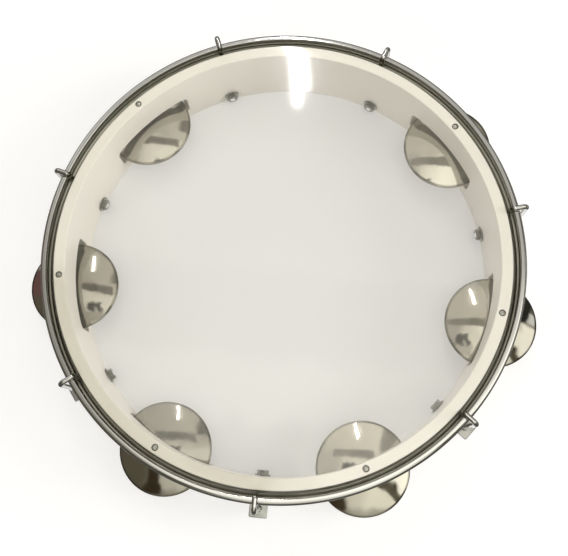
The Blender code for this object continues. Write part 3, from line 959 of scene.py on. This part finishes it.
# %% Bracket screws
SEAT, SHANK, SHANK_ROWS = 153.4 * MM, 1.9 * MM, 150
head_corners = mm([[0, 2.4], [2.6, 2.3], [3.9, 0.7], [3.9, 0], [1.9, 0]]) + [0, SEAT]
screw_head = rounded(head_corners, mm([0, 1.2, 0.5, 0.1, 0]), 6, False)
screw_head = screw_head[np.r_[0, 7:28, 34]]
shank_levels = np.linspace(SEAT - 0.2 * MM, 139.75 * MM, SHANK_ROWS)
shank_levels = np.concatenate([shank_levels, mm([139.6, 139.4, 139.4])])
screw_angle = all_round(36)
swell = 0.2 * MM * (0.5 + 0.5 * np.cos(2 * pi * shank_levels / THREAD_PITCH - screw_angle))
ends = np.array([1.0] * SHANK_ROWS + [0.88, 0.7, 0.0])
shank = (SHANK - swell * (ends > 0.8)) * ends
head_radius = np.broadcast_to(screw_head[:, 0], (len(screw_angle), len(screw_head)))
level = np.concatenate([screw_head[:, 1], shank_levels])
screw_grid = spun(np.concatenate([head_radius, shank], 1), screw_angle, level)
recess = mm([[-0.5, -6, 155.0], [-0.5, -6, 157], [-0.5, 6, 157], [-0.5, 6, 155.0]])
recess = np.stack([recess, recess + np.array([MM, 0, 0])])
for k, a in enumerate(hook_angles, 1):
    grid = pointing_outward(screw_grid, a, SCREW_LEVEL)
    blank = welded(f"bracket_screw_{k}", [squares(grid, wrap_rows=True)], 50)
    sides = pointing_outward(recess, a, SCREW_LEVEL)
    block = [squares(sides, wrap_columns=True)] + [(end, np.arange(4)[None]) for end in sides]
    mesh = cut_away(blank, welded("block", block, 30), 50)
    piece(mesh, bright_plate, "frame", f"bracket_screw_{k}", slot="plated_steel")
print("screw", len(mesh.polygons), "faces")

# %% [markdown]
# ## Pins and jingles
#
# A pin is drawn wire with a slightly domed end that shows in the bearing edge. Each jingle is
# a pair of thin domes, rim to rim. A dome's height falls with the square of the distance
# from its middle, a shallow bowl, and its rim is rounded over the sheet's thickness.

# %% Pins
pin_corners = mm([[0, -0.82], [1.5, -0.95], [1.5, -49.7], [0, -49.7]])
pin_section = rounded(pin_corners, mm([0, 0.3, 0.3, 0]), 5, False)[np.r_[0, 6:18, 23]]
for k, a in enumerate(set_angles, 1):
    place = (PIN_CIRCLE * cos(a), PIN_CIRCLE * sin(a))
    mesh = welded(f"pin_{k}", [squares(ring(pin_section, 40, place), wrap_rows=True)], 50)
    piece(mesh, pin_steel, f"jingle_pin_{k}", f"pin_{k}", slot="pin_steel")
print("pin", len(mesh.polygons), "faces")

# %% Jingle cups
CUP_RADIUS, CUP_RISE = 30.9 * MM, 6.5 * MM
CUP_SHEET, CUP_HOLE = 0.7 * MM, 2.0 * MM
LOW_RIM, TOP_RIM = -35.9 * MM, -35.6 * MM


def cup_section():
    """Closed section of a dome: outside from hole to rim, rounded rim, inside back again.

    In words: height = rise times (1 minus the square of radius / rim radius), the outside
    one sheet thickness above the inside.
    """
    r = CUP_RADIUS * np.linspace(CUP_HOLE / CUP_RADIUS, 1, 40)
    inside = np.stack([r, CUP_RISE * (1 - (r / CUP_RADIUS) ** 2)], -1)
    outside = inside + np.array([0, CUP_SHEET])
    keep = r < CUP_RADIUS - 0.3 * MM
    half = CUP_SHEET / 2
    turn = np.linspace(pi / 2 - 0.35, -pi / 2, 9)
    rim = np.stack([CUP_RADIUS - half + half * np.cos(turn), half + half * np.sin(turn)], -1)
    return np.concatenate([outside[keep], rim, inside[keep][::-1]])


# How bright each set's polish is, in turn round the ring.
POLISH = (0.93, 0.82, 0.80, 1.14, 0.98, 1.20)
cup = cup_section()
for k, a in enumerate(set_angles, 1):
    place = (PIN_CIRCLE * cos(a), PIN_CIRCLE * sin(a))
    for name, rim, way in (("top", TOP_RIM, 1), ("low", LOW_RIM, -1)):
        section = cup * np.array([1, way]) + np.array([0, rim])
        grid = ring(section, 120, place)
        mesh = welded(f"cup_{name}_{k}", [squares(grid, True, True)], 60, own=(*place, rim))
        with_values(mesh, "polish", np.full(len(mesh.vertices), POLISH[k - 1]))
        piece(mesh, nickel, f"{name}_jingle_{k}", f"cup_{name}_{k}", slot="jingle_metal")
print("cup", len(mesh.polygons), "faces")

# %% [markdown]
# ## Floor
#
# The drum lies on a plain white sheet. The floor is an ordinary white surface, so it takes
# the drum's shadows; for the camera's own rays light is added, more of it further out, so
# that it reads as a clean white page. What polished metal shows is another matter: beyond
# the sheet it sees a darker table.

# %% Floor
def sheet(name, x, y, height, finish):
    """A level rectangle that belongs to the stage and not to the drum."""
    mesh = bpy.data.meshes.new(name)
    corners = [(x[i], y[j], height) for i, j in ((0, 0), (1, 0), (1, 1), (0, 1))]
    mesh.from_pydata(corners, [], [[0, 1, 2, 3]])
    mesh.materials.append(finish)
    obj = placed(name, mesh)
    obj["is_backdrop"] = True
    return obj


page, w, shader, place = material("white_page", (0.56, 0.555, 0.55), 0.7)
paper = w.noise(place, 60.0, 3.0, 0.5)
sheet_tone = w.mix(paper, (0.565, 0.558, 0.556), (0.555, 0.548, 0.546))
from_middle = use(w, polar, Vector=place)["Radius"]
ray = w.add("LightPath")
mirrored = ray["Glossy Depth"] > 0.5
off_sheet = w.between(from_middle, 0.17, 0.205) * mirrored
toward_back = w.between(w.axes(place)[1], -0.30, 0.0)
far_tone = w.mix(toward_back, (0.1, 0.097, 0.085), (0.34, 0.33, 0.3))
table_tone = w.mix(w.between(from_middle, 0.27, 0.36), (0.045, 0.043, 0.036), far_tone)
w.put(shader, "Base Color", w.mix(off_sheet, sheet_tone, table_tone))
w.put(shader, "Emission Color", (1, 1, 1))
on_sheet = mirrored * (1.0 - off_sheet)
through_film = ray["Is Transmission Ray"] * 0.28
lift = w.between(from_middle, 0.30, 0.90, 0.54, 1.0)
plain_view = w.math("MAXIMUM", ray["Is Camera Ray"], on_sheet) * lift
w.put(shader, "Emission Strength", w.math("MAXIMUM", plain_view, through_film))
sheet("floor", (-12.0, 12.0), (-12.0, 12.0), SHELL_BOTTOM, page)
print("page", len(w.tree.nodes), "nodes")

# %% [markdown]
# ## Cards over the drum
#
# A polished dome shows everything above it, small and bent. Things that hang close by, such
# as a beam or the camera, sit at another place in every dome, so they can't be painted on a
# far-off world: they are real cards at real heights. Each card has a slightly cloudy tone and
# ragged edges. Only rays that left a mirror and came up through the film see it, so it throws
# no shadow and never stands in a picture.

# %% Cards
def card(name, x, y, height, tone, ragged=0.02):
    """A level card: its ranges along X and Y, its height, the tone that a mirror shows and
    how far its edges wander."""
    mat, w, shader, place = material(name, tone, 1.0)
    w.tree.nodes.remove(shader)
    cloudy = w.noise(place, 9.0, 2.0, 0.5)
    colour = w.mix(cloudy, [0.8 * t for t in tone], [1.2 * t for t in tone])
    glow = w.add("Emission", Color=colour)
    gone = w.add("BsdfTransparent")
    ray = w.add("LightPath")
    share = ray["Glossy Depth"] > 0.5
    share = share * (ray["Transmission Depth"] > 0.5)
    across, along, _ = w.axes(place)
    wander = (w.noise(place, 14.0, 2.0, 0.55) - 0.5) * ragged
    for axis, (low, high) in ((across, x), (along, y)):
        soft = 0.16 * min(high - low, 0.14)
        at = axis + wander
        for end, way in ((low, 1), (high, -1)):
            share = share * w.between(at, end, end + way * soft)
    w.surface(gone[0], glow[0], share)
    obj = sheet(name, x, y, height, mat)
    obj.visible_shadow = obj.visible_diffuse = False


cards = (
    ("beam", (-0.54, 0.34), (0.042, 0.228), 0.93, (0.24, 0.225, 0.185), 0.10),
    ("camera_card", (-0.14, 0.06), (-0.20, -0.08), 0.485, (0.05, 0.045, 0.035), 0.22),
    ("grey_card", (-0.15, 0.07), (-0.34, -0.19), 0.50, (0.66, 0.62, 0.55)),
    ("flag", (-0.25, -0.13), (-0.52, -0.31), 0.33, (0.05, 0.03, 0.02)),
    ("pale_card", (-0.13, -0.02), (-0.56, -0.34), 0.33, (0.85, 0.76, 0.70)),
)
for measures in cards:
    card(*measures)
print("cards", [name for name, *_ in cards])

# %% [markdown]
# ## Light: what the metal sees
#
# Polished metal shows the room. The world here is a bright, slightly warm studio with soft
# light and dark panels, each given by two angles: `up` leans from straight up toward +Y,
# `side` toward +X. One narrow lamp gives the white streak in the film and the small
# highlights in the domes. Wide soft lamps fill in, and no mirror shows them.

# %% World
world = bpy.data.worlds.new("studio")
bpy.context.scene.world = world
world.use_nodes = True
w = Words(world.node_tree)
direction = w.add("TexCoord")["Generated"]
dx, dy, dz = w.axes(direction)
up = w.math("DEGREES", w.math("ARCTAN2", dy, dz))
level_part = w.math("SQRT", dy * dy + dz * dz)
side = w.math("DEGREES", w.math("ARCTAN2", dx, level_part))


def panel(up_range, side_range, soft):
    """A mask that is 1 inside two ranges of angles and fades over soft degrees."""
    mask = 1.0
    for value, (low, high) in ((up, up_range), (side, side_range)):
        mask = mask * w.between(value, low - soft / 2, low + soft / 2)
        mask = mask * w.between(value, high + soft / 2, high - soft / 2)
    return mask


def with_panels(tone, panels):
    """A tone with soft panels laid over it in turn, each as its range of up, its range of
    side and its soft border in degrees, and its tone."""
    for up_range, side_range, soft, panel_tone in panels:
        tone = w.mix(panel(up_range, side_range, soft), tone, panel_tone)
    return tone


wander = w.noise(direction, 2.6, 3.0, 0.5)
sway = (wander - 0.5) * 14.0
up = up + sway
side = side + sway
lean = w.math("DEGREES", w.math("ARCCOSINE", dz)) + sway
back_left = (dy - dx) * 0.707
shade = w.mix(w.between(side, -35, 40), (0.68, 0.645, 0.565), (0.92, 0.875, 0.775))
near_camera = w.mix(w.between(side, -42, 6), (0.5, 0.475, 0.39), (1.36, 1.33, 1.2))
shade = w.mix(w.between(up, 12, 0), shade, near_camera)
far_out = w.between(lean, 47, 56)
shade = w.mix(far_out, shade, (0.22, 0.21, 0.18))
shade = w.mix(far_out * w.between(back_left, 0.5, 0.68), shade, (0.95, 0.94, 0.92))
shade = with_panels(shade, (
    ((-48, 40), (-90, -42), 12, (0.16, 0.165, 0.13)),
    ((14, 34), (-90, -52), 6, (0.24, 0.10, 0.105)),
    ((-18, 14), (-85, -22), 8, (0.56, 0.54, 0.49)),
    ((-50, -16), (-80, -25), 6, (0.17, 0.175, 0.13)),
    ((-34, -13), (28, 42), 5, (0.06, 0.05, 0.03)),
    ((-30, 16), (44, 62), 6, (1.45, 1.43, 1.30)),
    ((18, 56), (40, 50), 5, (0.03, 0.03, 0.025)),
    ((20, 36), (49, 58), 3, (0.95, 0.97, 0.95)),
    ((18, 56), (20, 40), 6, (0.24, 0.22, 0.18)),
    ((-95, -48), (-45, 45), 5, (0.03, 0.027, 0.025)),
))
# The metal outside the film stands a little further off and sees its own darker tones.
outside = w.add("LightPath")["Transmission Depth"] < 0.5
below = w.mix(w.between(side, -32, -2), (0.15, 0.14, 0.1), (0.86, 0.84, 0.74))
below = w.mix(w.between(side, 0, 14), below, (1.05, 1.03, 0.9))
below = w.mix(w.between(up, -38, -46) * 0.55, below, (0.1, 0.095, 0.07))
outer = with_panels(shade, (
    ((14, 62), (-30, 32), 10, (0.50, 0.49, 0.45)),
    ((-30, 16), (-85, -14), 8, (0.33, 0.32, 0.28)),
))
outer = w.mix(w.between(up, -6, -13) * w.between(side, 38, 30), outer, below)
outer = with_panels(outer, [((-50, -22), (-26, -11), 5, (0.06, 0.045, 0.025))])
slant = up + side
stripe = w.between(slant, 2, 6) * w.between(slant, 21, 17)
stripe = stripe * panel((-44, -11), (10, 60), 3)
outer = w.mix(stripe, outer, (0.12, 0.11, 0.075))
outer = with_panels(outer, [((-40, 45), (-90, -50), 8, (0.15, 0.13, 0.10))])
outer = w.mix(panel((-2, 42), (-90, -50), 8) * 0.6, outer, (0.24, 0.1, 0.115))
shade = w.mix(outside, shade, outer)
shade = w.mix(w.between(lean, 66, 76), shade, (0.04, 0.038, 0.032))
studio = w.add("Background", Color=shade)
white = w.add("Background", Color=(1, 1, 1))
ray = w.add("LightPath")
not_mirrored = ray["Glossy Depth"] < 0.5
through = ray["Is Transmission Ray"] * not_mirrored
seen = w.math("MAXIMUM", ray["Is Camera Ray"], through)
w.tree.nodes.remove(w.tree.nodes["Background"])
w.surface(studio[0], white[0], seen, "World Output")
print("world", len(w.tree.nodes), "nodes")

# %% Lamps
def lamp(name, place, width, length, watts, aim=(0, 0, 0), lengthways=(0, 1, 0)):
    """A rectangular lamp at a place, facing a point, its long side near a direction."""
    light = bpy.data.lights.new(name, "AREA")
    light.shape, light.size, light.size_y = "RECTANGLE", width, length
    light.energy = watts
    back = (Vector(place) - Vector(aim)).normalized()
    across = Vector(lengthways).cross(back).normalized()
    turn = Matrix((across, back.cross(across), back)).transposed().to_4x4()
    obj = placed(name, light)
    obj.matrix_world = Matrix.Translation(place) @ turn
    return obj


# The tube goes from 30 to 46 degrees off upright, toward +Y; its near end is narrower.
near, far = np.array([-0.127, 1.120, 1.9]), np.array([-0.298, 2.0, 1.9])
middle, way = (near + far) / 2, far - near
lamp("tube", middle, 0.066, float(np.hypot(*way[:2])), 5.0, middle - [0, 0, 1], way)
lamp("tube_end", (-0.142, 1.105, 1.9), 0.036, 0.09, 0.22, (-0.142, 1.105, 0.0), way)
for name, *placing in (
    ("soft_right", (1.78, 0.15, 0.60), 1.2, 0.8, 22.0),
    ("soft_left", (-1.2, -1.4, 0.9), 1.2, 0.9, 9.0),
    ("soft_back", (-1.5, 1.6, 0.55), 1.2, 0.8, 9.0),
    ("soft_front", (0.3, -2.0, 0.50), 1.2, 0.8, 5.0),
    ("soft_top", (0.3, 0.2, 2.0), 1.4, 1.4, 1.0),
):
    fill = lamp(name, *placing)
    fill.visible_glossy = fill.visible_transmission = False

# %% Sizes and finish
dressed_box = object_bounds()
sizes = {
    "cad": [list(corner) for corner in cad_box],
    "dressed": [list(corner) for corner in dressed_box],
}
print("dressed size in mm", [round((b - a) / MM, 1) for a, b in zip(*sizes["dressed"])])
